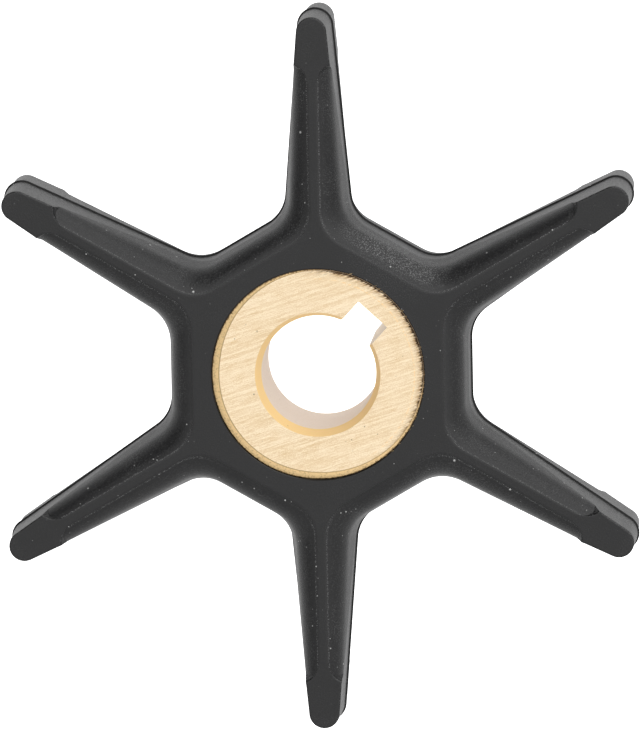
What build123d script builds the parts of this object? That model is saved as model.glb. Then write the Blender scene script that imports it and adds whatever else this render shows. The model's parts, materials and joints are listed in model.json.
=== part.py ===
"""Flexible pump impeller: six rubber vanes moulded onto a keyed brass insert.

Millimetres. The drive shaft's axis is Z, the lower face lies on z = 0 and one
vane points along +Y. The rubber is drawn from its parting plane upwards as one
half, the way each half of its mould is cut, and the other half mirrors it.
"""
import os
from math import atan, cos, pi, radians, sin, sqrt, tan

from build123d import *

# Drive shaft fit
BORE_DIAMETER = 12.0
KEYWAY_WIDTH = 4.0
KEYWAY_REACH = 8.6          # shaft axis to the keyway's floor
KEYWAY_ANGLE = 47.0         # direction of the keyway, from +X

# Brass insert
INSERT_DIAMETER = 22.2
LEAD_IN_WIDTH = 0.55        # long taper that guides the shaft in from above
LEAD_IN_DEPTH = 1.6
BORE_CHAMFER = 0.5          # plain chamfer at the bore's lower end
RIM_CHAMFER_WIDTH = 0.7
RIM_CHAMFER_DEPTH = 0.45

# Rubber body
HEIGHT = 12.0
VANE_COUNT = 6
VANE_START_ANGLE = 30.0     # direction of the first vane, from +X
TIP_REACH = 37.6            # shaft axis to a vane's tip at the parting plane
TIP_THICKNESS = 3.5
VANE_FLARE = 5.0            # lean of each side of a vane, thicker at the hub
HUB_ACROSS_FLATS = 31.3
ROOT_RADIUS = 4.0
DRAFT_ANGLE = 1.5           # of the vanes' sides and the hub, up from the parting plane
TIP_DRAFT_ANGLE = 1.0       # of the vane tips, which wipe the pump's wall

# Relief of both faces between the hub and the pads at the vane tips
LAND_WIDTH = 1.0            # flat strip left along the middle of each vane
PAD_LENGTH = 4.9
NECK_RADIUS = 2.2           # corner where a pad narrows to the land
PAD_STEP_LEAN = 25.0        # lean of the step below a pad's inner end
EDGE_SLOPE_AT_LAND = 12.0
EDGE_SLOPE_AT_WALL = 78.0
EDGE_DEPTH_AT_NECK = 1.5    # below the face, where the relief runs out at a wall
EDGE_DEPTH_AT_ROOT = 3.7
EDGE_DEPTH_AT_HUB = 2.8
HUB_EDGE_RADIUS = 2.3
RELIEF_MARGIN = 0.3         # relief cut this much past its deepest edge
RELIEF_OVERLAP = 0.1        # relief drawn this much deeper than what is cut away
RELIEF_LEVELS = 6

# Worked out from the sizes above
half_height = HEIGHT / 2
half_step = 180 / VANE_COUNT
tip_radius = TIP_THICKNESS / 2
tip_centre = TIP_REACH - tip_radius
hub_apothem = HUB_ACROSS_FLATS / 2
face_draft = half_height * tan(radians(DRAFT_ANGLE))
tip_draft = half_height * tan(radians(TIP_DRAFT_ANGLE))
pad_edge = TIP_REACH - PAD_LENGTH
neck_start = pad_edge - NECK_RADIUS
root_start = hub_apothem + ROOT_RADIUS
relief_depth = EDGE_DEPTH_AT_ROOT + RELIEF_MARGIN
lowest_level = relief_depth + RELIEF_OVERLAP
pad_depth = EDGE_DEPTH_AT_NECK + RELIEF_MARGIN


def star(tip, lean, apothem, centre=tip_centre):
    """Face of the whole impeller's outline, with every corner an arc."""
    side = Vector(sin(lean), cos(lean))
    flat = Vector(1, 0).rotate(Axis.Z, half_step)
    side_distance = centre * side.X + tip + ROOT_RADIUS
    flat_distance = apothem + ROOT_RADIUS
    turn = side.X * flat.Y - side.Y * flat.X
    corner = Vector(
        (side_distance * flat.Y - flat_distance * side.Y) / turn,
        (flat_distance * side.X - side_distance * flat.X) / turn,
    )
    tip_end = Vector(centre, 0) + side * tip
    side_end = corner - side * ROOT_RADIUS
    corner_middle = corner - (side + flat).normalized() * ROOT_RADIUS
    flat_start = corner - flat * ROOT_RADIUS

    def below(point):
        return Vector(point.X, -point.Y)

    def next_vane(point):
        return below(point).rotate(Axis.Z, 2 * half_step)

    sixth = [
        ThreePointArc(below(tip_end), (centre + tip, 0), tip_end),
        Line(tip_end, side_end),
        ThreePointArc(side_end, corner_middle, flat_start),
        Line(flat_start, next_vane(flat_start)),
        ThreePointArc(
            next_vane(flat_start), next_vane(corner_middle), next_vane(side_end)
        ),
        Line(next_vane(side_end), next_vane(tip_end)),
    ]
    loop = []
    for place in PolarLocations(0, VANE_COUNT, start_angle=VANE_START_ANGLE):
        loop += [place * curve for curve in sixth]
    return Face(Wire([curve.edge() for curve in loop]))


def setback(drop, radius, first_slope):
    """How far a rounded edge has run out sideways at a depth below the face."""
    first = radians(first_slope)
    last = radians(EDGE_SLOPE_AT_WALL)
    arc_depth = radius * (cos(first) - cos(last))
    if drop >= arc_depth:
        arc_width = radius * (sin(last) - sin(first))
        return arc_width + (drop - arc_depth) / tan(last)
    level = cos(first) - drop / radius
    return radius * (sqrt(1 - level**2) - sin(first))


def relieved_half_width(distance, edge_depth, drop):
    """Half width of the relieved vane at a distance out and a depth below the face."""
    half_land = LAND_WIDTH / 2
    wall = tip_radius + (tip_centre - distance) * tan(radians(VANE_FLARE)) - face_draft
    first = radians(EDGE_SLOPE_AT_LAND)
    last = radians(EDGE_SLOPE_AT_WALL)
    reach = (wall - half_land) * sin(last) - edge_depth * cos(last)
    edge_radius = reach / (1 - cos(last - first))
    return half_land + setback(drop, edge_radius, EDGE_SLOPE_AT_LAND)


def relieved_star(drop):
    """Outline of the relieved face at a depth below the flat lands."""
    at_neck = relieved_half_width(neck_start, EDGE_DEPTH_AT_NECK, drop)
    at_root = relieved_half_width(root_start, EDGE_DEPTH_AT_ROOT, drop)
    lean = atan((at_root - at_neck) / (neck_start - root_start))
    at_tip = at_neck - (tip_centre - neck_start) * tan(lean)
    hub_edge = setback(EDGE_DEPTH_AT_HUB, HUB_EDGE_RADIUS, 0)
    apothem = hub_apothem - face_draft - hub_edge + setback(drop, HUB_EDGE_RADIUS, 0)
    outline = star(at_tip * cos(lean), lean, apothem)
    return Pos(0, 0, half_height - drop) * outline


def pad_outline(drop):
    """Outline of one tip pad, wider below the face as its inner step leans."""
    spread = drop * tan(radians(PAD_STEP_LEAN))
    neck = NECK_RADIUS - spread
    half_land = LAND_WIDTH / 2 + spread
    shoulder = LAND_WIDTH / 2 + NECK_RADIUS
    beyond_tip = TIP_REACH + tip_radius
    neck_middle = (neck_start + neck * sin(pi / 4), shoulder - neck * cos(pi / 4))
    upper = Curve() + [
        ThreePointArc(
            (neck_start, half_land), neck_middle, (neck_start + neck, shoulder)
        ),
        Line((neck_start + neck, shoulder), (beyond_tip, shoulder)),
    ]
    ends = Curve() + [
        Line((neck_start, -half_land), (neck_start, half_land)),
        Line((beyond_tip, -shoulder), (beyond_tip, shoulder)),
    ]
    outline = make_face(upper + mirror(upper, about=Plane.XZ) + ends)
    return Pos(0, 0, half_height - drop) * outline


def rubber_impeller():
    """Vanes and hub as one moulding, open in the middle for the insert."""
    flare = radians(VANE_FLARE)
    parting_outline = star(tip_radius, flare, hub_apothem)
    face_outline = star(
        tip_radius - face_draft,
        flare,
        hub_apothem - face_draft,
        centre=tip_centre + face_draft - tip_draft,
    )
    blank = loft([parting_outline, Pos(0, 0, half_height) * face_outline], ruled=True)

    # The levels crowd together near the face, where the edges are flattest.
    drops = [
        lowest_level * (1 - level / RELIEF_LEVELS) ** 2
        for level in range(RELIEF_LEVELS + 1)
    ]
    relief = loft([relieved_star(drop) for drop in drops], ruled=True)
    pad = loft([pad_outline(pad_depth), pad_outline(0)], ruled=True)
    pads = PolarLocations(0, VANE_COUNT, start_angle=VANE_START_ANGLE) * pad
    removed = Pos(0, 0, half_height) * Cylinder(
        TIP_REACH + tip_radius,
        relief_depth,
        align=(Align.CENTER, Align.CENTER, Align.MAX),
    )
    removed = removed - relief - list(pads)
    upper_half = blank - removed
    body = upper_half + mirror(upper_half, about=Plane.XY)
    body -= Cylinder(INSERT_DIAMETER / 2, HEIGHT)
    return Pos(0, 0, half_height) * body


def brass_insert():
    """Turned bush with a keyway broached through its bore."""
    insert_radius = INSERT_DIAMETER / 2
    bore_radius = BORE_DIAMETER / 2
    rim_radius = insert_radius - RIM_CHAMFER_WIDTH
    section = Polyline(
        (bore_radius, BORE_CHAMFER),
        (bore_radius, HEIGHT - LEAD_IN_DEPTH),
        (bore_radius + LEAD_IN_WIDTH, HEIGHT),
        (rim_radius, HEIGHT),
        (insert_radius, HEIGHT - RIM_CHAMFER_DEPTH),
        (insert_radius, RIM_CHAMFER_DEPTH),
        (rim_radius, 0),
        (bore_radius + BORE_CHAMFER, 0),
        close=True,
    )
    bush = revolve(Plane.XZ * make_face(section), Axis.Z)
    keyway = Box(
        KEYWAY_REACH,
        KEYWAY_WIDTH,
        HEIGHT,
        align=(Align.MIN, Align.CENTER, Align.MIN),
    )
    return bush - Rotation(0, 0, KEYWAY_ANGLE) * keyway


os.makedirs("parts", exist_ok=True)
export_step(rubber_impeller(), "parts/rubber_impeller.step")
export_step(brass_insert(), "parts/brass_insert.step")
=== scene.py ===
"""Flexible pump impeller, dressed for rendering.

A small Blender add-on: one operator moulds the rubber body, one turns the
brass insert and one sets up the stage. Everything is in metres, with the
shaft's axis on Z, the lower face on z = 0 and one vane along +Y.
"""
import json
from math import acos, atan, cos, hypot, pi, radians, sin, sqrt, tan

import bmesh
import bpy
from bpy.props import FloatProperty, FloatVectorProperty, PointerProperty
from mathutils import Matrix, Vector


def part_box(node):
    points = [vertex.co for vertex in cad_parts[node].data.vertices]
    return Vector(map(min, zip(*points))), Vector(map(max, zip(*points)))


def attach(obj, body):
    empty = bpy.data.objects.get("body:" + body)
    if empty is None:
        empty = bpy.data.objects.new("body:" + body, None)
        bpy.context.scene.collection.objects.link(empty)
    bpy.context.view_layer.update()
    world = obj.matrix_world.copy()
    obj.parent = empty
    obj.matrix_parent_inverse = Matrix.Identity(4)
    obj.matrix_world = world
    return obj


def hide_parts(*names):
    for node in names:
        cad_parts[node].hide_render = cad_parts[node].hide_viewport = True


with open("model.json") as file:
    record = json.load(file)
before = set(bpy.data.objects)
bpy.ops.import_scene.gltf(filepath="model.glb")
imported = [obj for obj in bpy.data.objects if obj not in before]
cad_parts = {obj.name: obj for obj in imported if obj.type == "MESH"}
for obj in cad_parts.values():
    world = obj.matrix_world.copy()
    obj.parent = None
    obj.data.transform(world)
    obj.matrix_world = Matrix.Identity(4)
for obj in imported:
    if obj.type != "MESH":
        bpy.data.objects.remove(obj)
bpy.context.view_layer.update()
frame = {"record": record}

bl_info = {
    "name": "Flexible Pump Impeller",
    "version": (1, 0, 0),
    "blender": (4, 5, 0),
    "location": "3D View > Sidebar > Impeller",
    "description": "Moulds a six-vane rubber impeller on its brass insert and lights it",
    "category": "Add Mesh",
}

RUBBER_LOW, RUBBER_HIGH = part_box("rubber_impeller")
BRASS_LOW, BRASS_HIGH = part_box("brass_insert")
BORE = next(m for m in frame["record"]["mounts"] if m["name"] == "bore")
VANE_COUNT = 6
FIRST_VANE = radians(30)     # direction of the first vane, from +X
MM = 0.001


def length(name, description, default):
    """A property that is a length in metres."""
    return FloatProperty(
        name=name, description=description, default=default, min=0.0,
        precision=5, unit="LENGTH", subtype="DISTANCE",
    )


def offset(name, description, default):
    """A length in metres that may be negative."""
    return FloatProperty(
        name=name, description=description, default=default,
        precision=6, unit="LENGTH", subtype="DISTANCE",
    )


def angle(name, description, degrees):
    """A property that is an angle, its default given in degrees."""
    return FloatProperty(
        name=name, description=description, default=radians(degrees), subtype="ANGLE"
    )


def colour(name, description, default):
    """A property that is a linear colour."""
    return FloatVectorProperty(
        name=name, description=description, default=default, size=3,
        min=0.0, max=1.0, subtype="COLOR",
    )


def factor(name, description, default, highest=1.0):
    """A plain number from 0."""
    return FloatProperty(
        name=name, description=description, default=default, min=0.0, max=highest
    )


class RubberSizes(bpy.types.PropertyGroup):
    """Sizes of the moulded rubber body."""

    height: length("Height", "Between the two flat faces", RUBBER_HIGH[2] - RUBBER_LOW[2])
    tip_reach: length("Tip Reach", "Shaft axis to a vane's tip", RUBBER_HIGH[1])
    tip_thickness: length("Tip Thickness", "Across a vane's round tip", 3.5 * MM)
    vane_flare: angle("Vane Flare", "Lean of each side of a vane", 5.0)
    hub_across_flats: length("Hub Across Flats", "Between two opposite flats", 31.3 * MM)
    root_radius: length("Root Radius", "Corner between a vane and the hub", 4.0 * MM)
    draft: angle("Draft", "Draft of the vanes' sides and the hub", 1.5)
    tip_draft: angle("Tip Draft", "Draft of the vane tips", 1.0)
    land_width: length("Land Width", "Flat strip along the middle of a vane", 1.0 * MM)
    pad_length: length("Pad Length", "Tip to the pad's inner end", 4.9 * MM)
    neck_radius: length("Neck Radius", "Corner where a pad narrows to the land", 2.2 * MM)
    pad_step_lean: angle("Pad Step Lean", "Lean of the step below a pad's inner end", 25.0)
    slope_at_land: angle("Slope at Land", "Slope of the rounded edge beside the land", 12.0)
    slope_at_wall: angle("Slope at Wall", "Steepest slope of the rounded edge", 78.0)
    depth_at_neck: length("Depth at Neck", "Relief at the wall, by a pad", 1.5 * MM)
    depth_at_root: length("Depth at Root", "Relief at the wall, by the hub", 3.7 * MM)
    depth_at_hub: length("Depth at Hub", "Relief at the hub's flats", 2.8 * MM)
    hub_edge_radius: length("Hub Edge Radius", "Round of the hub's rim", 2.3 * MM)
    pad_edge_radius: length("Pad Edge Radius", "Slight round of a pad's upper edge", 0.13 * MM)
    fin_width: length("Fin Width", "How far the parting fin stands out", 0.17 * MM)
    fin_thickness: length("Fin Thickness", "Height of the parting fin", 0.28 * MM)


class InsertSizes(bpy.types.PropertyGroup):
    """Sizes of the turned brass insert."""

    diameter: length("Diameter", "Outside of the insert", BRASS_HIGH[0] - BRASS_LOW[0])
    bore_diameter: length("Bore Diameter", "Shaft bore", 2 * BORE["dims"]["r_mm"] * MM)
    keyway_width: length("Keyway Width", "Between the keyway's walls", 4.0 * MM)
    keyway_reach: length("Keyway Reach", "Shaft axis to the keyway's floor", 8.6 * MM)
    keyway_angle: angle("Keyway Angle", "Direction of the keyway", 47.0)
    lead_in_width: length("Lead-in Width", "Long taper at the bore's upper end", 0.55 * MM)
    lead_in_depth: length("Lead-in Depth", "Length of the taper along the bore", 1.6 * MM)
    bore_chamfer: length("Bore Chamfer", "Plain chamfer at the lower end", 0.5 * MM)
    rim_chamfer_width: length("Rim Chamfer Width", "Chamfer round each face", 0.7 * MM)
    rim_chamfer_depth: length("Rim Chamfer Depth", "Chamfer down the side", 0.45 * MM)
    linished_side: angle("Linished Side", "Where the rim chamfer is worn away", 40.0)


class FinishSettings(bpy.types.PropertyGroup):
    """Colours and textures of the two materials."""

    rubber: colour("Rubber", "Black rubber", (0.008, 0.008, 0.0085))
    rubber_roughness: factor("Rubber Roughness", "Roughness of the rubber", 0.35)
    grain: factor("Grain", "Depth of the moulded grain", 0.7)
    # Grey powder, also used as a painted highlight along the lands' edges
    bloom_and_glint: colour("Bloom", "Grey powder that the rubber sweats out", (0.24, 0.24, 0.24))
    bloom_amount: factor("Bloom Amount", "How much powder lies on the relief", 0.8)
    dust: colour("Dust", "Pale specks and lint", (0.55, 0.55, 0.54))
    dust_amount: factor("Dust Amount", "How many cells carry a speck", 0.5)
    brass: colour("Brass", "Freshly linished face", (1.0, 0.845, 0.62))
    brass_line: colour("Brass Line", "Fine scratches of the linished face", (0.80, 0.59, 0.33))
    brass_turned: colour("Turned Brass", "Chamfers, out of the belt's reach", (1.0, 0.72, 0.36))
    lead_in: colour("Lead-in", "Bright taper at the bore's upper end", (1.0, 0.73, 0.34))
    bore_wall: colour("Bore Wall", "Reamed wall of the bore", (0.93, 0.82, 0.72))
    # Dragged brass, and also painted shade of the rim rolling over on the worn side
    rim_smear_and_shade: colour("Smear", "Burnt brass dragged over the rim", (0.34, 0.18, 0.055))
    brass_roughness: factor("Brass Roughness", "Roughness of the linished face", 0.5)
    brass_metal: factor("Brass Metal", "Share of the brass face that mirrors", 0.7)


class StageSettings(bpy.types.PropertyGroup):
    """Floor, lights and camera."""

    floor: colour("Floor", "Plain white floor", (0.15, 0.15, 0.15))
    floor_glow: factor("Floor Glow", "Even light of the back-lit floor", 0.80, 5.0)
    floor_lift: factor("Floor Lift", "Lifts the floor to white for the camera", 1.0, 5.0)
    dome: factor("Dome", "Brightness of the white tent overhead", 0.78, 5.0)
    strip: factor("Strip", "Brightness of the long soft light", 2.15, 5.0)
    gap: factor("Gap", "Brightness of the dark opening in the tent", 0.10, 5.0)
    strip_bearing: angle("Strip Bearing", "Side to which the soft light runs down", 62.0)
    gap_bearing: angle("Gap Bearing", "Side of the dark opening", 125.0)
    tilt: angle("Camera Tilt", "Angle from straight above", 10.28)
    bearing: angle("Camera Bearing", "Side to which the camera leans", 64.89)
    roll: angle("Camera Roll", "Turn about the line of sight", -0.777)
    distance: length("Camera Distance", "From the middle of the impeller", 1.265)
    lens: FloatProperty(name="Lens", description="Focal length, mm", default=596.8, min=1.0)
    aside: offset("Aside", "Camera moved sideways", -0.195 * MM)
    up: offset("Up", "Camera moved up the picture", 0.037 * MM)


# ---- rubber form


def meeting(before, low, high):
    """Value up to which a test holds, halved in on between two bounds."""
    for _ in range(40):
        middle = (low + high) / 2
        low, high = (middle, high) if before(middle) else (low, middle)
    return (low + high) / 2


class StarWall:
    """Outline of the impeller at one height, in the frame of a vane along +X."""

    def __init__(self, sizes, tip, lean, apothem, centre):
        self.tip, self.lean, self.apothem, self.centre = tip, lean, apothem, centre
        self.root = sizes.root_radius
        self.side = (sin(lean), cos(lean))
        self.flat = (cos(pi / VANE_COUNT), sin(pi / VANE_COUNT))
        self.side_distance = centre * self.side[0] + tip
        a, b = self.side_distance + self.root, apothem + self.root
        turn = self.side[0] * self.flat[1] - self.side[1] * self.flat[0]
        self.corner = (
            (a * self.flat[1] - b * self.side[1]) / turn,
            (b * self.side[0] - a * self.flat[0]) / turn,
        )
        self.side_end = self.corner[0] - self.side[0] * self.root
        self.first_turn = pi / 2 - lean
        self.last_turn = pi / VANE_COUNT
        self.flat_length = self.corner[0] * self.flat[1] - self.corner[1] * self.flat[0]

    def on_tip(self, turn):
        return (self.centre + self.tip * cos(turn), self.tip * sin(turn))

    def on_side(self, x):
        return (x, (self.side_distance - x * self.side[0]) / self.side[1])

    def on_root(self, turn):
        x, y = self.corner
        return (x - self.root * cos(turn), y - self.root * sin(turn))

    def on_flat(self, along):
        x, y = self.flat
        return (self.apothem * x + along * y, self.apothem * y - along * x)

    def place(self, point):
        """Region of a point near the outline, and how far along it lies."""
        away_x, away_y = self.corner[0] - point[0], self.corner[1] - point[1]
        turn = acos(max(-1, min(1, away_x / hypot(away_x, away_y))))
        if turn >= self.first_turn or point[0] > self.corner[0] + self.root:
            return "side", point[0]
        if turn >= self.last_turn:
            return "root", turn
        return "flat", point[0] * self.flat[1] - point[1] * self.flat[0]

    def gap(self, point):
        """How far a point lies outside the outline; negative inside it."""
        region, along = self.place(point)
        if region == "side":
            across = point[0] * self.side[0] + point[1] * self.side[1]
            return across - self.side_distance
        if region == "root":
            return self.root - hypot(
                self.corner[0] - point[0], self.corner[1] - point[1]
            )
        return point[0] * self.flat[0] + point[1] * self.flat[1] - self.apothem

    def at(self, region, along):
        """Point of the outline in one of its regions."""
        return getattr(self, "on_" + region)(along)

    def normal(self, region, along):
        """Outward direction of the wall in plan."""
        if region in ("tip", "root"):
            return cos(along), sin(along)
        return self.side if region == "side" else self.flat


class VaneForm:
    """Wall, relief and pad of one half vane, above the parting plane."""

    def __init__(self, sizes):
        self.sizes = sizes
        self.half_height = sizes.height / 2
        self.tip_radius = sizes.tip_thickness / 2
        self.tip_centre = sizes.tip_reach - self.tip_radius
        self.hub_apothem = sizes.hub_across_flats / 2
        self.face_draft = self.half_height * tan(sizes.draft)
        self.tip_draft = self.half_height * tan(sizes.tip_draft)
        self.half_land = sizes.land_width / 2
        self.neck_start = sizes.tip_reach - sizes.pad_length - sizes.neck_radius
        self.root_start = self.hub_apothem + sizes.root_radius
        self.neck_centre = (self.neck_start, self.half_land + sizes.neck_radius)

    def wall(self, height):
        """Outline of the wall at a height above the parting plane."""
        share = height / self.half_height
        return StarWall(
            self.sizes,
            self.tip_radius - self.face_draft * share,
            self.sizes.vane_flare,
            self.hub_apothem - self.face_draft * share,
            self.tip_centre + (self.face_draft - self.tip_draft) * share,
        )

    def setback(self, drop, radius, first):
        """How far a rounded edge has run out sideways at a depth below the face."""
        last = self.sizes.slope_at_wall
        arc_depth = radius * (cos(first) - cos(last))
        if drop >= arc_depth:
            return radius * (sin(last) - sin(first)) + (drop - arc_depth) / tan(last)
        level = cos(first) - drop / radius
        return radius * (sqrt(max(0.0, 1 - level**2)) - sin(first))

    def relief_half_width(self, x, drop):
        """Half width of the relieved vane at a depth below the land."""
        sizes = self.sizes
        first, last = sizes.slope_at_land, sizes.slope_at_wall
        widths = []
        for distance, depth in (
            (self.neck_start, sizes.depth_at_neck),
            (self.root_start, sizes.depth_at_root),
        ):
            wall = self.tip_radius - self.face_draft
            wall += (self.tip_centre - distance) * tan(sizes.vane_flare)
            reach = (wall - self.half_land) * sin(last) - depth * cos(last)
            radius = reach / (1 - cos(last - first))
            widths.append(self.half_land + self.setback(drop, radius, first))
        share = (x - self.neck_start) / (self.root_start - self.neck_start)
        return widths[0] + (widths[1] - widths[0]) * share

    def relief(self, drop):
        """Outline of the relieved face at a depth below the flat lands."""
        at_neck = self.relief_half_width(self.neck_start, drop)
        at_root = self.relief_half_width(self.root_start, drop)
        lean = atan((at_root - at_neck) / (self.neck_start - self.root_start))
        at_tip = at_neck - (self.tip_centre - self.neck_start) * tan(lean)
        edge = self.sizes.hub_edge_radius
        apothem = self.hub_apothem - self.face_draft
        apothem -= self.setback(self.sizes.depth_at_hub, edge, 0)
        apothem += self.setback(drop, edge, 0)
        return StarWall(self.sizes, at_tip * cos(lean), lean, apothem, self.tip_centre)

    def relief_drop(self, x, y):
        """Depth of the relieved vane below the land at a point of its plan."""
        return meeting(
            lambda drop: self.relief_half_width(x, drop) < y, 0.0, self.half_height
        )

    def wall_drop(self, point_at):
        """Depth at which a line of the relief, given by its depth, meets the wall."""
        return meeting(
            lambda drop: self.wall(self.half_height - drop).gap(point_at(drop)) < 0,
            0.0, self.half_height,
        )


def spread(count, first=0.0, last=1.0):
    """Even steps from first to last, both included."""
    return [first + (last - first) * i / (count - 1) for i in range(count)]


# Rows of each profile, from the flat top down to the parting plane
EDGE_ROWS = 5
STEP_ROWS = 5
RELIEF_ROWS = 15
WALL_ROWS = 6
FIN_ROWS = ((0.45, 0.8), (0.85, 0.5), (1.0, 0.0))   # shares of the fin's width, height
# Profiles of half a vane, from its tip round to the hub's flat
TIP_PROFILES = 15
PAD_SIDE_SHARES = (0.33, 0.66, 0.9)
NECK_PROFILES = 15
RELIEF_PROFILES = (("side", 12), ("root", 13), ("flat", 5))
HOLE_PROFILES = 13

SUPPORT = 0.12 * MM         # last flat row before an edge
LAND_ROUND = 0.24 * MM      # the same, beside the land's crease
FIRST_SLOPE = 0.1           # radians, where the relief's even steps start
HOLE_EDGE = 0.08 * MM       # broken edge round the insert
MERGE = 2e-7                # metres, points that are one
SHARP_RUBBER = radians(38)
SHARP_BRASS = radians(12)


def slope_shares(form):
    """Depth and width shares along a rounded edge, even in slope."""
    first, last = FIRST_SLOPE, form.sizes.slope_at_wall
    slopes = spread(RELIEF_ROWS, first, last)
    depth = [(cos(first) - cos(s)) / (cos(first) - cos(last)) for s in slopes]
    width = [(sin(s) - sin(first)) / (sin(last) - sin(first)) for s in slopes]
    return depth, width


def wall_rows(form, region, along, top):
    """Points down the wall from a height to the middle of the parting fin."""
    fin_top = form.sizes.fin_thickness / 2
    first = top - SUPPORT
    heights = [first]
    heights += [first + (fin_top - first) * share for share in spread(WALL_ROWS)[1:]]
    rows = [(*form.wall(height).at(region, along), height) for height in heights]
    for out, share in FIN_ROWS:
        wall = form.wall(fin_top * share)
        x, y = wall.at(region, along)
        out_x, out_y = wall.normal(region, along)
        out *= form.sizes.fin_width
        rows.append((x + out_x * out, y + out_y * out, fin_top * share))
    return rows


def pad_profile(form, region, along):
    """Points from a pad's flat top over its slight round and down the wall."""
    edge = form.sizes.pad_edge_radius
    top = form.half_height
    wall = form.wall(top)
    x, y = wall.at(region, along)
    out_x, out_y = wall.normal(region, along)
    inset = edge + SUPPORT
    rows = [(x - out_x * inset, y - out_y * inset, top)]
    for turn in spread(EDGE_ROWS, 0.0, pi / 2):
        inset = edge * (1 - sin(turn))
        height = top - edge * (1 - cos(turn))
        rows.append((x - out_x * inset, y - out_y * inset, height))
    rows += [rows[-1]] * (STEP_ROWS + RELIEF_ROWS)
    return rows + wall_rows(form, region, along, top - edge)


def relief_profile(form, point_at, inward):
    """Points from the flat land or hub over the relief and down the wall."""
    depth, _ = slope_shares(form)
    lowest = form.wall_drop(point_at)
    x, y = point_at(0.0)
    top = form.half_height
    rows = [(x + inward[0] * LAND_ROUND, y + inward[1] * LAND_ROUND, top)]
    rows += [(x, y, top)] * (EDGE_ROWS + STEP_ROWS)
    rows += [(*point_at(lowest * share), top - lowest * share) for share in depth]
    region, along = form.wall(top - lowest).place(point_at(lowest))
    return rows + wall_rows(form, region, along, top - lowest)


def neck_profiles(form, count, first_wall_x):
    """Profiles across the corner where the pad narrows to the land."""
    centre_x, centre_y = form.neck_centre
    lean = form.sizes.pad_step_lean
    last_bend = pi / 2 - lean
    top = form.half_height

    def on_step(turn, drop):
        """Point of the leaning step at a turn about the corner and a depth."""
        radius = form.sizes.neck_radius - drop * tan(lean)
        return (centre_x + radius * cos(turn), centre_y + radius * sin(turn))

    def turn_at_wall(drop):
        wall = form.wall(top - drop)
        return meeting(lambda turn: wall.gap(on_step(turn, drop)) < 0, -pi / 2, 0.0)

    def on_share(share, drop):
        """Point of the step at a share of its way from the land to the wall."""
        return on_step(-pi / 2 + share * (turn_at_wall(drop) + pi / 2), drop)

    def foot(share):
        """Depth at which the step runs down into the relief."""
        return meeting(
            lambda drop: form.relief_drop(*on_share(share, drop)) > drop, 0.0, top
        )

    _, width = slope_shares(form)
    last_wall_x = on_share(1.0, foot(1.0))[0]

    profiles = []
    for share in spread(count)[1:]:
        step = foot(share)
        edge = min(form.sizes.pad_edge_radius, step * 0.45)
        tangent = edge * tan(last_bend / 2)
        out = -pi / 2 + share * (turn_at_wall(0.0) + pi / 2)
        x, y = on_step(out, 0.0)
        backs = [(tangent + SUPPORT, 0.0)]
        for bend in spread(EDGE_ROWS, 0.0, last_bend):
            backs.append((tangent - edge * sin(bend), edge * (1 - cos(bend))))
        rows = [(x + cos(out) * b, y + sin(out) * b, top - drop) for b, drop in backs]
        bend_drop = edge * (1 - cos(last_bend))
        for drop in spread(STEP_ROWS + 1, bend_drop, step)[1:]:
            rows.append((*on_share(share, drop), top - drop))
        foot_x, foot_y = on_share(share, step)
        if share == 1.0:
            rows += [(foot_x, foot_y, top - step)] * RELIEF_ROWS
            profiles.append(rows + wall_rows(form, "side", foot_x, top - step))
            continue
        wall_x = first_wall_x + (last_wall_x - first_wall_x) * share

        def wall_y(drop):
            return form.wall(top - drop).on_side(wall_x)[1]

        drop = meeting(
            lambda drop: form.relief_half_width(wall_x, drop) < wall_y(drop), 0.0, top
        )
        for part in width:
            x = foot_x + (wall_x - foot_x) * part
            y = foot_y + (wall_y(drop) - foot_y) * part
            rows.append((x, y, top - form.relief_drop(x, y)))
        profiles.append(rows + wall_rows(form, "side", wall_x, top - drop))
    return profiles


def half_vane_profiles(form):
    """All profiles of half a vane, from the middle of its tip to the hub's flat."""
    face_wall = form.wall(form.half_height)
    profiles = [
        pad_profile(form, "tip", turn)
        for turn in spread(TIP_PROFILES, 0.0, face_wall.first_turn)
    ]

    def line_at(region, share):
        """A line down the relief, as its point at each depth."""
        def point_at(drop):
            line = form.relief(drop)
            first, last = {
                "side": (form.neck_start, line.side_end),
                "root": (line.first_turn, line.last_turn),
                "flat": (line.flat_length, 0.0),
            }[region]
            return line.at(region, first + (last - first) * share)
        return point_at

    necks = neck_profiles(form, NECK_PROFILES, form.neck_start)
    neck_top = necks[-1][1][0]
    tip_side = form.tip_centre + sin(form.sizes.vane_flare) * form.tip_radius
    for share in PAD_SIDE_SHARES:
        profiles.append(
            pad_profile(form, "side", tip_side + (neck_top - tip_side) * share)
        )
    profiles += reversed(necks)
    crease = form.relief(0.0)
    for region, count in RELIEF_PROFILES:
        for share in spread(count)[region != "side":]:
            turn = crease.first_turn + (crease.last_turn - crease.first_turn) * share
            x, y = crease.normal(region, turn)
            profiles.append(relief_profile(form, line_at(region, share), (-x, -y)))
    return profiles


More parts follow.
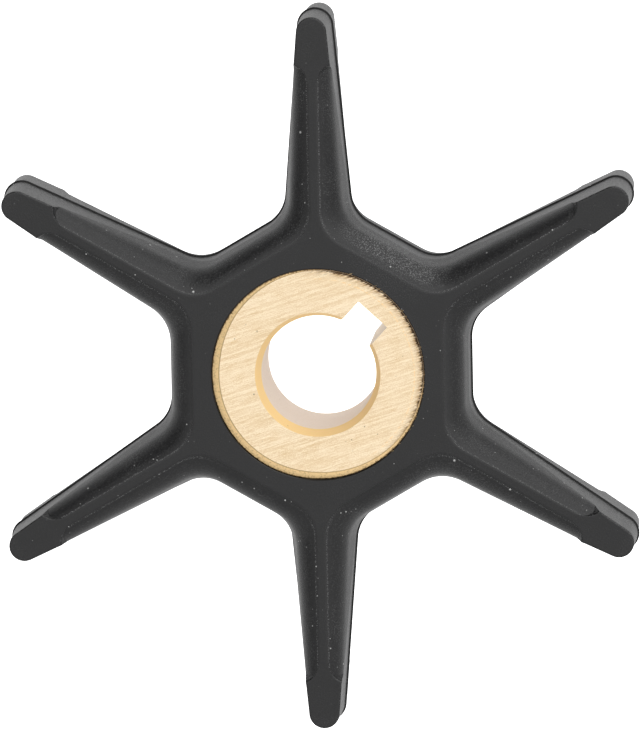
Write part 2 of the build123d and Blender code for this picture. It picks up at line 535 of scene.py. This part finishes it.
def build_rubber_mesh(sizes, insert_radius):
    """Closed mesh of the whole rubber body."""
    form = VaneForm(sizes)
    profiles = half_vane_profiles(form)
    top = form.half_height
    inner = []
    for turn in spread(HOLE_PROFILES, 0.0, pi / VANE_COUNT):
        inner.append([
            (radius * cos(turn), radius * sin(turn), height)
            for radius, height in (
                (insert_radius + 2 * HOLE_EDGE, top),
                (insert_radius + HOLE_EDGE, top),
                (insert_radius, top - HOLE_EDGE),
                (insert_radius, top - 6 * HOLE_EDGE),
                (insert_radius, 0.0),
            )
        ])
    vertices, faces = [], []

    def strip(columns, turned):
        start = len(vertices)
        rows = len(columns[0])
        for column in columns:
            vertices.extend(column)
        for i in range(len(columns) - 1):
            for j in range(rows - 1):
                a = start + i * rows + j
                quad = (a, a + 1, a + rows + 1, a + rows)
                faces.append(quad if turned else quad[::-1])

    for vane in range(VANE_COUNT):
        spin = FIRST_VANE + vane * 2 * pi / VANE_COUNT
        for side in (1, -1):
            for end in (1, -1):
                def placed(point):
                    x, y, z = point[0], point[1] * side, point[2] * end
                    return (
                        x * cos(spin) - y * sin(spin), x * sin(spin) + y * cos(spin),
                        z + top,
                    )
                outer = [[placed(p) for p in profile] for profile in profiles]
                bore = [[placed(p) for p in column] for column in inner]
                strip(outer, side * end > 0)
                strip(bore, side * end < 0)
                start = len(vertices)
                flat = [column[0] for column in outer]
                flat += [column[0] for column in reversed(bore)]
                vertices.extend(flat)
                loop = tuple(range(start, start + len(flat)))
                faces.append(loop if side * end > 0 else loop[::-1])
    return closed_mesh("rubber_body", vertices, faces, SHARP_RUBBER)


def closed_mesh(name, vertices, faces, sharp):
    """Smooth-shaded mesh with its points merged, or an error if it isn't closed."""
    mesh = bpy.data.meshes.new(name)
    mesh.from_pydata(vertices, [], faces)
    shape = bmesh.new()
    shape.from_mesh(mesh)
    bmesh.ops.remove_doubles(shape, verts=shape.verts, dist=MERGE)
    bmesh.ops.dissolve_degenerate(shape, edges=shape.edges, dist=MERGE / 2)
    bmesh.ops.recalc_face_normals(shape, faces=shape.faces)
    for face in shape.faces:
        face.smooth = True
    for edge in shape.edges:
        if len(edge.link_faces) != 2:
            shape.free()
            raise RuntimeError(f"{name} has an open edge")
        if edge.calc_face_angle(0) > sharp:
            edge.smooth = False
    shape.to_mesh(mesh)
    shape.free()
    return mesh


# ---- brass form


RING_POINTS = 220

# Shares of the rim chamfer's width and depth: linishing has rolled its edge over.
ROLLED_CHAMFER = ((0.0, 0.0), (0.45, 0.30), (0.88, 0.60), (0.97, 0.80), (1.0, 1.0))


def build_brass_mesh(sizes):
    """Closed mesh of the insert, ring by ring from the outside in."""
    half_key = sizes.keyway_width / 2
    bore = sizes.bore_diameter / 2
    outside = sizes.diameter / 2
    height = BRASS_HIGH[2] - BRASS_LOW[2]

    def inner_ring(radius, z):
        first = atan(half_key / sqrt(radius**2 - half_key**2))
        ring = [
            (radius * cos(t), radius * sin(t), z)
            for t in spread(RING_POINTS, first, 2 * pi - first)
        ]
        floor = sizes.keyway_reach
        start = sqrt(radius**2 - half_key**2)
        for share in (0.33, 0.66):
            ring.append((start + (floor - start) * share, -half_key, z))
        for share in spread(5, -1.0, 1.0):
            ring.append((floor, half_key * share, z))
        for share in (0.66, 0.33):
            ring.append((start + (floor - start) * share, half_key, z))
        return ring

    turns = []
    for x, y, _ in inner_ring(bore, 0.0):
        turns.append(Vector((x, y)).angle_signed(Vector((1, 0)), 0.0))

    def outer_ring(radius_at, z_at):
        return [
            (radius_at(t) * cos(t), radius_at(t) * sin(t), z_at(t)) for t in turns
        ]

    def chamfer(turn):
        """Share of the rim chamfer that linishing has left on the upper face."""
        away = cos(turn + sizes.keyway_angle - sizes.linished_side)
        return max(0.04, min(1.2, 0.68 - 0.80 * away))

    width, depth = sizes.rim_chamfer_width, sizes.rim_chamfer_depth
    rings = [
        inner_ring(bore, sizes.bore_chamfer),
        inner_ring(bore, height - sizes.lead_in_depth),
        inner_ring(bore + sizes.lead_in_width, height),
        *[
            outer_ring(
                lambda t, across=across: outside - width * chamfer(t) * (1 - across),
                lambda t, down=down: height - depth * chamfer(t) * down,
            )
            for across, down in ROLLED_CHAMFER
        ],
        outer_ring(lambda t: outside, lambda t: depth),
        outer_ring(lambda t: outside - width, lambda t: 0.0),
        inner_ring(bore + sizes.bore_chamfer, 0.0),
    ]
    count = len(turns)
    turn = Matrix.Rotation(sizes.keyway_angle, 3, "Z")
    vertices = [tuple(turn @ Vector(point)) for ring in rings for point in ring]
    faces = []
    for i in range(len(rings)):
        a, b = i * count, (i + 1) % len(rings) * count
        for j in range(count):
            k = (j + 1) % count
            faces.append((a + j, a + k, b + k, b + j))
    return closed_mesh("brass_insert_turned", vertices, faces, SHARP_BRASS)


# ---- materials


class Nodes:
    """Short way to lay out a node tree from left to right."""

    def __init__(self, tree):
        self.tree = tree
        tree.nodes.clear()

    def add(self, kind, inputs=(), **values):
        """New node; an input is given as a fixed value or as another's output."""
        node = self.tree.nodes.new(kind)
        for name, value in values.items():
            setattr(node, name, value)
        for key, value in dict(inputs).items():
            if isinstance(value, bpy.types.NodeSocket):
                self.tree.links.new(value, node.inputs[key])
            else:
                node.inputs[key].default_value = value
        return node

    def math(self, operation, a, b=0.0, c=0.0, clamp=False):
        inputs = {0: a, 1: b, 2: c}
        node = self.add("ShaderNodeMath", inputs, operation=operation, use_clamp=clamp)
        return node.outputs[0]

    def times(self, *values):
        """Product of two or more values."""
        product = values[0]
        for value in values[1:]:
            product = self.math("MULTIPLY", product, value)
        return product

    def noise(self, where, scale, detail, roughness):
        return self.add("ShaderNodeTexNoise", {
            "Vector": where, "Scale": scale, "Detail": detail, "Roughness": roughness,
        }).outputs["Fac"]

    def vector(self, operation, a, b=(0, 0, 0), output=0):
        node = self.add("ShaderNodeVectorMath", {0: a, 1: b}, operation=operation)
        return node.outputs[output]

    def group(self, tree, names, **inputs):
        """Outputs, by name, of one of the shared groups."""
        node = self.add("ShaderNodeGroup", inputs, node_tree=tree)
        return [node.outputs[name] for name in names]

    def between(self, value, low, high):
        """0 at low and 1 at high, smooth in between."""
        node = self.add(
            "ShaderNodeMapRange", {"Value": value, "From Min": low, "From Max": high},
            interpolation_type="SMOOTHSTEP",
        )
        return node.outputs["Result"]

    def mix(self, share, first, second):
        inputs = {"Factor": share, 6: first, 7: second}
        return self.add("ShaderNodeMix", inputs, data_type="RGBA").outputs[2]


def rgba(value):
    """A colour with full alpha."""
    return (*value, 1.0)


def group_sockets(tree, inputs, outputs):
    """Named inputs, each with its default, and named outputs of a group."""
    for name, kind, default in inputs:
        socket = tree.interface.new_socket(name=name, in_out="INPUT", socket_type=kind)
        if default is not None:
            socket.default_value = default
    for name, kind in outputs:
        tree.interface.new_socket(name=name, in_out="OUTPUT", socket_type=kind)


PLACE_NAMES = ("Place", "Radius", "Height", "Upright")


def place_group():
    """Place in millimetres, radius about the shaft, height and how level a face is."""
    tree = bpy.data.node_groups.new("place on the part", "ShaderNodeTree")
    nodes = Nodes(tree)
    group_sockets(tree, [], [
        ("Place", "NodeSocketVector"), ("Radius", "NodeSocketFloat"),
        ("Height", "NodeSocketFloat"), ("Upright", "NodeSocketFloat"),
    ])
    given = nodes.add("ShaderNodeTexCoord").outputs
    place = nodes.vector("MULTIPLY", given["Object"], (1 / MM, 1 / MM, 1 / MM))
    split = nodes.add("ShaderNodeSeparateXYZ", {0: place})
    flat = nodes.add("ShaderNodeCombineXYZ", {0: split.outputs[0], 1: split.outputs[1]})
    facing = nodes.add("ShaderNodeSeparateXYZ", {0: given["Normal"]})
    nodes.add("NodeGroupOutput", {
        "Place": place,
        "Radius": nodes.vector("LENGTH", flat.outputs[0], output="Value"),
        "Height": split.outputs[2],
        "Upright": nodes.math("ABSOLUTE", facing.outputs[2]),
    })
    return tree


# Share of the given spacing, and the largest speck in mm, of each size of speck
SPECKS = ((1.0, 0.19), (0.42, 0.12))


def dust_group():
    """Sparse specks of dust or pits, of two sizes."""
    tree = bpy.data.node_groups.new("dust specks", "ShaderNodeTree")
    nodes = Nodes(tree)
    group_sockets(
        tree,
        [("Place", "NodeSocketVector", None), ("Spacing", "NodeSocketFloat", 1.5),
         ("Amount", "NodeSocketFloat", 0.5)],
        [("Specks", "NodeSocketFloat")],
    )
    given = nodes.add("NodeGroupInput").outputs
    masks = []
    for share, size in SPECKS:
        apart = nodes.times(given["Spacing"], share)
        cells = nodes.add("ShaderNodeTexVoronoi", {
            "Vector": given["Place"], "Scale": nodes.math("DIVIDE", 1.0, apart),
            "Randomness": 1.0,
        }, feature="F1")
        near = nodes.times(cells.outputs["Distance"], apart)
        chance = nodes.add("ShaderNodeSeparateColor", {0: cells.outputs["Color"]}).outputs
        kept = nodes.math("LESS_THAN", chance[0], given["Amount"])
        reach = nodes.times(chance[1], size)
        spot = nodes.between(near, reach, nodes.times(reach, 0.3))
        masks.append(nodes.times(spot, chance[2], kept))
    nodes.add("NodeGroupOutput", {"Specks": nodes.math("MAXIMUM", *masks)})
    return tree


LINISHING_ANGLE = radians(18)       # of the belt's scratches, from +X
WORN_SIDE = radians(18)             # direction in which the rim is torn
WORN_FROM, WORN_FULL = 0.05, 0.60   # cosines about that direction
DRAG = 2.2                          # mm, how far streaks shift the rim


def linishing_group():
    """Scratches of the linishing belt, and how far they drag the rim sideways."""
    tree = bpy.data.node_groups.new("linishing", "ShaderNodeTree")
    nodes = Nodes(tree)
    group_sockets(
        tree,
        [("Place", "NodeSocketVector", None), ("Radius", "NodeSocketFloat", 0.0)],
        [("Lines", "NodeSocketFloat"), ("Streaks", "NodeSocketFloat"),
         ("Worn Side", "NodeSocketFloat"), ("Dragged Radius", "NodeSocketFloat")],
    )
    given = nodes.add("NodeGroupInput").outputs
    turned = nodes.add("ShaderNodeMapping", {
        "Vector": given["Place"], "Rotation": (0, 0, -LINISHING_ANGLE),
    }).outputs[0]

    def stretched(along, across, detail, roughness):
        scaled = nodes.add("ShaderNodeMapping", {
            "Vector": turned, "Scale": (along, across, 1.0),
        })
        return nodes.noise(scaled.outputs[0], 1.0, detail, roughness)

    fine = stretched(0.6, 15.0, 4.0, 0.85)
    coarse = stretched(0.10, 3.4, 2.0, 0.5)
    lines = nodes.math("MULTIPLY_ADD", coarse, 0.30, nodes.times(fine, 0.70))
    streaks = stretched(0.8, 5.0, 3.0, 0.8)
    split = nodes.add("ShaderNodeSeparateXYZ", {0: given["Place"]}).outputs
    side = nodes.math(
        "MULTIPLY_ADD", split[1], sin(WORN_SIDE), nodes.times(split[0], cos(WORN_SIDE))
    )
    side = nodes.math("DIVIDE", side, nodes.math("MAXIMUM", given["Radius"], 1.0))
    worn = nodes.between(side, WORN_FROM, WORN_FULL)
    drag = nodes.times(nodes.math("SUBTRACT", streaks, 0.5), DRAG)
    dragged = nodes.math("MULTIPLY_ADD", drag, worn, given["Radius"])
    nodes.add("NodeGroupOutput", {
        "Lines": lines, "Streaks": streaks, "Worn Side": worn, "Dragged Radius": dragged,
    })
    return tree


# Places on the rubber, in mm
POWDER_CENTRE = (16.0, 57.0, 0.5)   # radius, bearing and depth of the thickest powder
POWDER_REACH = (8.0, 2.5)
TIP_POWDER = (2.2, 0.9)             # in from the vane's reach
FIN_BAND = (0.19, 0.13)             # from the parting plane
SUNK = (0.02, 0.25)                 # below the face
# Painted highlight: depths below the face of the glint along the lands' edges
CREASE_GLINT_LOW, CREASE_GLINT_HIGH = (0.060, 0.035), (0.003, 0.014)
POLISH_LOW, POLISH_HIGH = (0.04, 0.015), (0.0, 0.004)
JOINT_BAND = (0.16, 0.06)           # past the insert
BRASS_STREAKS = (-0.12, -0.30)

# Painted shade of the parting fin
FIN_SHADE = (0.001, 0.001, 0.001)
# Painted shade of the gap round the insert
JOINT_SHADE = (0.003, 0.0025, 0.002)


def rubber_material(finish, insert_radius):
    """Black moulded rubber: grain, grey powder, dust and brass dragged over its rim, with a
    painted glint along the lands' edges and painted shade on the parting fin and round the
    insert.
    """
    material = bpy.data.materials.new("moulded_black_rubber")
    material.use_nodes = True
    nodes = Nodes(material.node_tree)
    groups = shared_groups()
    where, radius, height, upright = nodes.group(groups["place"], PLACE_NAMES)
    half = (RUBBER_HIGH[2] - RUBBER_LOW[2]) / 2 / MM
    reach = RUBBER_HIGH[1] / MM
    joint_at = insert_radius / MM
    from_middle = nodes.math("ABSOLUTE", nodes.math("SUBTRACT", height, half))

    def below_face(band):
        """0 to 1 between two depths below either flat face."""
        return nodes.between(from_middle, half - band[0], half - band[1])

    fine = nodes.noise(where, 5.0, 3.0, 0.65)
    powder = nodes.noise(where, 8.5, 3.0, 0.7)
    patches = nodes.noise(where, 0.22, 4.0, 0.6)
    speck, = nodes.group(
        groups["dust"], ("Specks",), Place=where, Spacing=1.5, Amount=finish.dust_amount
    )
    dragged_radius, = nodes.group(
        groups["linishing"], ("Dragged Radius",), Place=where, Radius=radius
    )
    in_fin = nodes.between(from_middle, *FIN_BAND)
    sunk = below_face(SUNK)

    # Powder is a fine grey grain, thick round the hub's corner that faces the keyway.
    out, bearing, down = POWDER_CENTRE
    bearing = radians(bearing)
    centre = (out * cos(bearing), out * sin(bearing), 2 * half - down)
    thick = nodes.between(nodes.vector("DISTANCE", where, centre, "Value"), *POWDER_REACH)
    at_tip = nodes.between(radius, reach - TIP_POWDER[0], reach - TIP_POWDER[1])
    on_wall = nodes.between(upright, 0.5, 0.2)
    powder_and_glint_amount = nodes.math("MULTIPLY_ADD", nodes.between(patches, 0.44, 0.66), 0.18, 0.12)
    for more in (thick, nodes.times(at_tip, 0.45), nodes.times(on_wall, 0.38)):
        powder_and_glint_amount = nodes.math("MAXIMUM", powder_and_glint_amount, more)
    powder_and_glint_amount = nodes.times(powder_and_glint_amount, nodes.math("MULTIPLY_ADD", sunk, 0.75, 0.25))

    # Painted highlight: grey grains along the edges of the lands stand in for the glint of
    # their crease.
    crease = nodes.times(
        below_face(CREASE_GLINT_LOW), below_face(CREASE_GLINT_HIGH), nodes.between(radius, 13.0, 17.0)
    )
    powder_and_glint_amount = nodes.math("MAXIMUM", powder_and_glint_amount, nodes.times(crease, 0.6))
    grains = nodes.between(powder, 0.50, 0.64)
    bloom_and_glint = nodes.times(grains, powder_and_glint_amount, finish.bloom_amount)
    base = nodes.mix(bloom_and_glint, rgba(finish.rubber), rgba(finish.bloom_and_glint))
    # Painted shade: the parting fin is darkened to near black.
    base = nodes.mix(nodes.times(in_fin, 0.95), base, rgba(FIN_SHADE))
    base = nodes.mix(speck, base, rgba(finish.dust))

    # Painted shade: a dark band on the rubber round the insert stands in for the shadow in the
    # gap; the belt has dragged brass across it.
    gap_shade = nodes.between(radius, joint_at + JOINT_BAND[0], joint_at + JOINT_BAND[1])
    base = nodes.mix(gap_shade, base, rgba(JOINT_SHADE))
    dragged = nodes.times(
        nodes.between(
            dragged_radius, joint_at + BRASS_STREAKS[0], joint_at + BRASS_STREAKS[1]
        ),
        below_face((0.15, 0.05)),
    )
    base = nodes.mix(nodes.times(dragged, 0.8), base, rgba(finish.brass_turned))

    polish = nodes.times(below_face(POLISH_LOW), below_face(POLISH_HIGH))
    rough = nodes.math("MULTIPLY_ADD", patches, 0.12, finish.rubber_roughness - 0.06)
    for mask, change in ((polish, -0.12), (bloom_and_glint, 0.25), (in_fin, 0.3)):
        rough = nodes.math("MULTIPLY_ADD", mask, change, rough)
    grain = nodes.math("MULTIPLY_ADD", powder, 0.6, fine)
    grain = nodes.times(grain, nodes.math("MULTIPLY_ADD", sunk, 0.75, 0.25))
    bump = nodes.add("ShaderNodeBump", {
        "Height": nodes.math("MULTIPLY_ADD", speck, 0.6, grain),
        "Strength": finish.grain, "Distance": 0.06 * MM,
    })
    shader = nodes.add("ShaderNodeBsdfPrincipled", {
        "Base Color": base, "Roughness": rough, "Metallic": nodes.times(dragged, 0.6),
        "Normal": bump.outputs[0], "IOR": 1.45, "Specular IOR Level": 0.5,
    })
    nodes.add("ShaderNodeOutputMaterial", {"Surface": shader.outputs[0]})
    return material


# Fixed tints of the brass
TORN_RIM_SHADE = (0.030, 0.014, 0.006)
TARNISH_AND_EDGE_SHADE = (0.11, 0.05, 0.018)
MOTTLED_WALL = (0.42, 0.35, 0.29)
KEYWAY_WALL_REFLECTION = (1.0, 0.94, 0.86)
PIT = (0.12, 0.075, 0.03)


def brass_material(finish, insert):
    """Brass: linished on the faces, turned on the chamfers, reamed in the bore."""
    material = bpy.data.materials.new("linished_brass")
    material.use_nodes = True
    nodes = Nodes(material.node_tree)
    groups = shared_groups()
    where, radius, height, upright = nodes.group(groups["place"], PLACE_NAMES)
    outside = insert.diameter / 2 / MM
    bore = insert.bore_diameter / 2 / MM
    top = BRASS_HIGH[2] / MM
    on_face = nodes.between(upright, 0.955, 0.985)
    on_wall = nodes.between(upright, 0.22, 0.10)
    lines, streaks, worn = nodes.group(
        groups["linishing"], ("Lines", "Streaks", "Worn Side"), Place=where, Radius=radius
    )
    pits, = nodes.group(groups["dust"], ("Specks",), Place=where, Spacing=1.6, Amount=0.28)
    blotch = nodes.noise(where, 0.8, 4.0, 0.6)
    mottle = nodes.noise(where, 4.5, 3.0, 0.6)

    # Linished face: long fine scratches, a little darker where they crowd.
    speckled = nodes.noise(where, 7.0, 2.0, 0.6)
    lines = nodes.math("MULTIPLY_ADD", speckled, 0.30, nodes.math("SUBTRACT", lines, 0.15))
    crowded = nodes.math("MULTIPLY_ADD", blotch, 0.8, 0.3)
    scratch = nodes.math(
        "MULTIPLY", nodes.between(lines, 0.565, 0.45), crowded, clamp=True
    )
    face = nodes.mix(scratch, rgba(finish.brass), rgba(finish.brass_line))

    # The belt has folded the rim over on one side and left dark, torn streaks; the mesh keeps
    # that edge square, and painted shade stands in for the fold as a brown band, a fold line
    # and a dark outer edge.
    near_rim = nodes.times(nodes.between(radius, outside - 0.9, outside - 0.1), worn)
    torn_and_shaded = nodes.times(nodes.between(streaks, 0.36, 0.58), near_rim, 0.9)
    face = nodes.mix(torn_and_shaded, face, rgba(finish.rim_smear_and_shade))
    # Painted shade: a dark ragged edge where the rim meets the rubber.
    ragged = nodes.math("MULTIPLY_ADD", streaks, 0.9, -0.45)
    rim = nodes.between(
        nodes.math("ADD", radius, ragged), outside - 0.36, outside - 0.08
    )
    face = nodes.mix(nodes.times(rim, worn), face, rgba(TORN_RIM_SHADE))
    # Painted shade: a golden line where the rim starts to roll over.
    ring = nodes.math("ABSOLUTE", nodes.math("SUBTRACT", radius, outside - 1.0))
    fold_shade = nodes.times(
        nodes.between(ring, 0.10, 0.04), nodes.between(streaks, 0.48, 0.56), worn, 0.75
    )
    face = nodes.mix(fold_shade, face, rgba(finish.brass_turned))

    # Chamfers keep their turned colour with random tarnish, and painted shade darkens their
    # edges; the bore is paler.
    # Painted shade: the chamfer is darker along its outer edge by the rubber and along its
    # upper edge.
    ragged = nodes.math("MULTIPLY_ADD", mottle, 0.5, -0.25)
    edge_shade = nodes.between(
        nodes.math("ADD", radius, ragged), outside - 0.20, outside - 0.02
    )
    top_edge_shade = nodes.times(nodes.between(height, top - 0.07, top - 0.015), 0.6)
    edge_shade = nodes.times(nodes.math("MAXIMUM", edge_shade, top_edge_shade), 0.85)
    tarnish_and_edge_shade = nodes.times(nodes.between(mottle, 0.48, 0.66), 0.30)
    tarnish_and_edge_shade = nodes.math("MAXIMUM", tarnish_and_edge_shade, edge_shade)
    chamfer = nodes.mix(tarnish_and_edge_shade, rgba(finish.brass_turned), rgba(TARNISH_AND_EDGE_SHADE))
    chamfer = nodes.mix(nodes.between(radius, 8.5, 7.5), chamfer, rgba(finish.lead_in))
    wall = nodes.mix(
        nodes.times(mottle, 0.25), rgba(finish.bore_wall), rgba(MOTTLED_WALL)
    )
    # Painted reflection: the keyway's walls are lightened to near white, standing in for the
    # white floor they mirror.
    in_keyway = nodes.times(
        nodes.between(radius, bore + 0.02, bore + 0.12),
        nodes.between(radius, outside - 1.0, outside - 1.2),
    )
    wall = nodes.mix(in_keyway, wall, rgba(KEYWAY_WALL_REFLECTION))
    base = nodes.mix(on_face, nodes.mix(on_wall, chamfer, wall), face)
    base = nodes.mix(nodes.times(pits, 0.8), base, rgba(PIT))

    rough = nodes.math("MULTIPLY_ADD", scratch, 0.12, finish.brass_roughness)
    metal = nodes.math(
        "MULTIPLY_ADD", on_face, 0.6 * finish.brass_metal, 0.4 * finish.brass_metal
    )
    turned = nodes.add("ShaderNodeCombineXYZ", {0: radius, 1: 0.0, 2: height}).outputs[0]
    relief = nodes.mix(on_face, nodes.noise(turned, 9.0, 2.0, 0.5), lines)
    bump = nodes.add("ShaderNodeBump", {
        "Height": relief, "Strength": 0.6, "Distance": 0.05 * MM,
    })
    shader = nodes.add("ShaderNodeBsdfPrincipled", {
        "Base Color": base, "Roughness": rough, "Metallic": metal,
        "Normal": bump.outputs[0],
    })
    nodes.add("ShaderNodeOutputMaterial", {"Surface": shader.outputs[0]})
    return material


# ---- operators


def shared_groups():
    """The node groups that both materials use, made once."""
    existing = bpy.data.node_groups
    return {
        "place": existing.get("place on the part") or place_group(),
        "dust": existing.get("dust specks") or dust_group(),
        "linishing": existing.get("linishing") or linishing_group(),
    }


def add_piece(name, mesh, material, node):
    """Puts a mesh in the scene as the dressed form of a node."""
    piece = bpy.data.objects.new(name, mesh)
    bpy.context.scene.collection.objects.link(piece)
    mesh.materials.append(material)
    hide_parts(node)
    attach(piece, "root")
    return piece


class IMPELLER_OT_rubber(bpy.types.Operator):
    """Mould the vanes and hub as one rubber body"""

    bl_idname = "impeller.rubber"
    bl_label = "Rubber Body"

    def execute(self, context):
        scene = context.scene
        insert_radius = scene.impeller_insert.diameter / 2
        mesh = build_rubber_mesh(scene.impeller_rubber, insert_radius)
        material = rubber_material(scene.impeller_finish, insert_radius)
        add_piece("rubber_body", mesh, material, "rubber_impeller")
        return {"FINISHED"}


class IMPELLER_OT_insert(bpy.types.Operator):
    """Turn the brass insert and broach its keyway"""

    bl_idname = "impeller.insert"
    bl_label = "Brass Insert"

    def execute(self, context):
        scene = context.scene
        mesh = build_brass_mesh(scene.impeller_insert)
        material = brass_material(scene.impeller_finish, scene.impeller_insert)
        add_piece("turned_insert", mesh, material, "brass_insert")
        return {"FINISHED"}


class IMPELLER_OT_stage(bpy.types.Operator):
    """Lay the floor, hang the lights and set up the camera"""

    bl_idname = "impeller.stage"
    bl_label = "Stage"

    def execute(self, context):
        scene = context.scene
        stage = scene.impeller_stage
        lay_floor(scene, stage)
        light_studio(scene, stage)
        set_camera(scene, stage)
        scene.view_settings.view_transform = "Standard"
        return {"FINISHED"}


FLOOR_REACH = 4.0           # metres
FLOOR_LEVEL = -0.02 * MM    # just clear of the lower face


def lay_floor(scene, stage):
    """Plain pale floor with one even glow, seen by the camera as white."""
    mesh = bpy.data.meshes.new("floor")
    corners = [
        (FLOOR_REACH * x, FLOOR_REACH * y, FLOOR_LEVEL)
        for x, y in ((-1, -1), (1, -1), (1, 1), (-1, 1))
    ]
    mesh.from_pydata(corners, [], [(0, 1, 2, 3)])
    floor = bpy.data.objects.new("floor", mesh)
    scene.collection.objects.link(floor)
    material = bpy.data.materials.new("white_floor")
    material.use_nodes = True
    nodes = Nodes(material.node_tree)
    seen = nodes.add("ShaderNodeLightPath").outputs["Is Camera Ray"]
    glow = nodes.math("MULTIPLY_ADD", seen, stage.floor_lift, stage.floor_glow)
    shader = nodes.add("ShaderNodeBsdfPrincipled", {
        "Base Color": rgba(stage.floor), "Roughness": 0.9, "Specular IOR Level": 0.1,
        "Emission Color": (1, 1, 1, 1), "Emission Strength": glow,
    })
    nodes.add("ShaderNodeOutputMaterial", {"Surface": shader.outputs[0]})
    mesh.materials.append(material)


def light_studio(scene, stage):
    """White tent with a long soft light down one side and a dark opening beside it."""
    world = bpy.data.worlds.new("studio")
    scene.world = world
    world.use_nodes = True
    nodes = Nodes(world.node_tree)
    way = nodes.add("ShaderNodeTexCoord").outputs["Generated"]

    def towards(bearing):
        side = (cos(bearing), sin(bearing), 0.0)
        return nodes.vector("DOT_PRODUCT", way, side, "Value")

    across = nodes.math("ABSOLUTE", towards(stage.strip_bearing + pi / 2))
    in_strip = nodes.math(
        "MULTIPLY", nodes.between(across, 0.45, 0.27),
        nodes.between(towards(stage.strip_bearing), -0.13, -0.02),
    )
    in_gap = nodes.between(towards(stage.gap_bearing), 0.22, 0.60)
    strength = nodes.math("MULTIPLY_ADD", in_gap, stage.gap - stage.dome, stage.dome)
    more = nodes.math("SUBTRACT", stage.strip, strength)
    strength = nodes.math("MULTIPLY_ADD", in_strip, more, strength)
    shader = nodes.add("ShaderNodeBackground", {
        "Color": (1, 1, 1, 1), "Strength": strength,
    })
    nodes.add("ShaderNodeOutputWorld", {"Surface": shader.outputs[0]})


def set_camera(scene, stage):
    """Long lens, leaning a little from straight above."""
    camera = bpy.data.cameras.new("camera")
    camera.lens = stage.lens
    camera.sensor_width = 36.0
    camera.clip_start, camera.clip_end = 0.05, 20.0
    eye = bpy.data.objects.new("camera", camera)
    scene.collection.objects.link(eye)
    turn = (
        Matrix.Rotation(stage.bearing, 4, "Z")
        @ Matrix.Rotation(stage.tilt, 4, "Y")
        @ Matrix.Rotation(-(stage.bearing - stage.roll), 4, "Z")
    )
    middle = Vector((0, 0, (RUBBER_LOW[2] + RUBBER_HIGH[2]) / 2))
    shift = Matrix.Translation((stage.aside, stage.up, stage.distance))
    eye.matrix_world = Matrix.Translation(middle) @ turn @ shift
    scene.camera = eye


class IMPELLER_PT_panel(bpy.types.Panel):
    """Lists the impeller's pieces and its stage"""

    bl_idname = "IMPELLER_PT_panel"
    bl_label = "Pump Impeller"
    bl_space_type = "VIEW_3D"
    bl_region_type = "UI"
    bl_category = "Impeller"

    def draw(self, context):
        column = self.layout.column()
        for operator in (IMPELLER_OT_rubber, IMPELLER_OT_insert, IMPELLER_OT_stage):
            column.operator(operator.bl_idname)


CLASSES = (
    RubberSizes, InsertSizes, FinishSettings, StageSettings,
    IMPELLER_OT_rubber, IMPELLER_OT_insert, IMPELLER_OT_stage, IMPELLER_PT_panel,
)
SETTINGS = {
    "impeller_rubber": RubberSizes, "impeller_insert": InsertSizes,
    "impeller_finish": FinishSettings, "impeller_stage": StageSettings,
}


def register():
    """Adds the operators, the panel and the settings."""
    for cls in CLASSES:
        bpy.utils.register_class(cls)
    for name, cls in SETTINGS.items():
        setattr(bpy.types.Scene, name, PointerProperty(type=cls))


def unregister():
    """Takes them away again."""
    for name in SETTINGS:
        delattr(bpy.types.Scene, name)
    for cls in reversed(CLASSES):
        bpy.utils.unregister_class(cls)


def main():
    """Builds the whole scene."""
    register()
    bpy.ops.impeller.rubber()
    bpy.ops.impeller.insert()
    bpy.ops.impeller.stage()


if __name__ == "__main__":
    main()
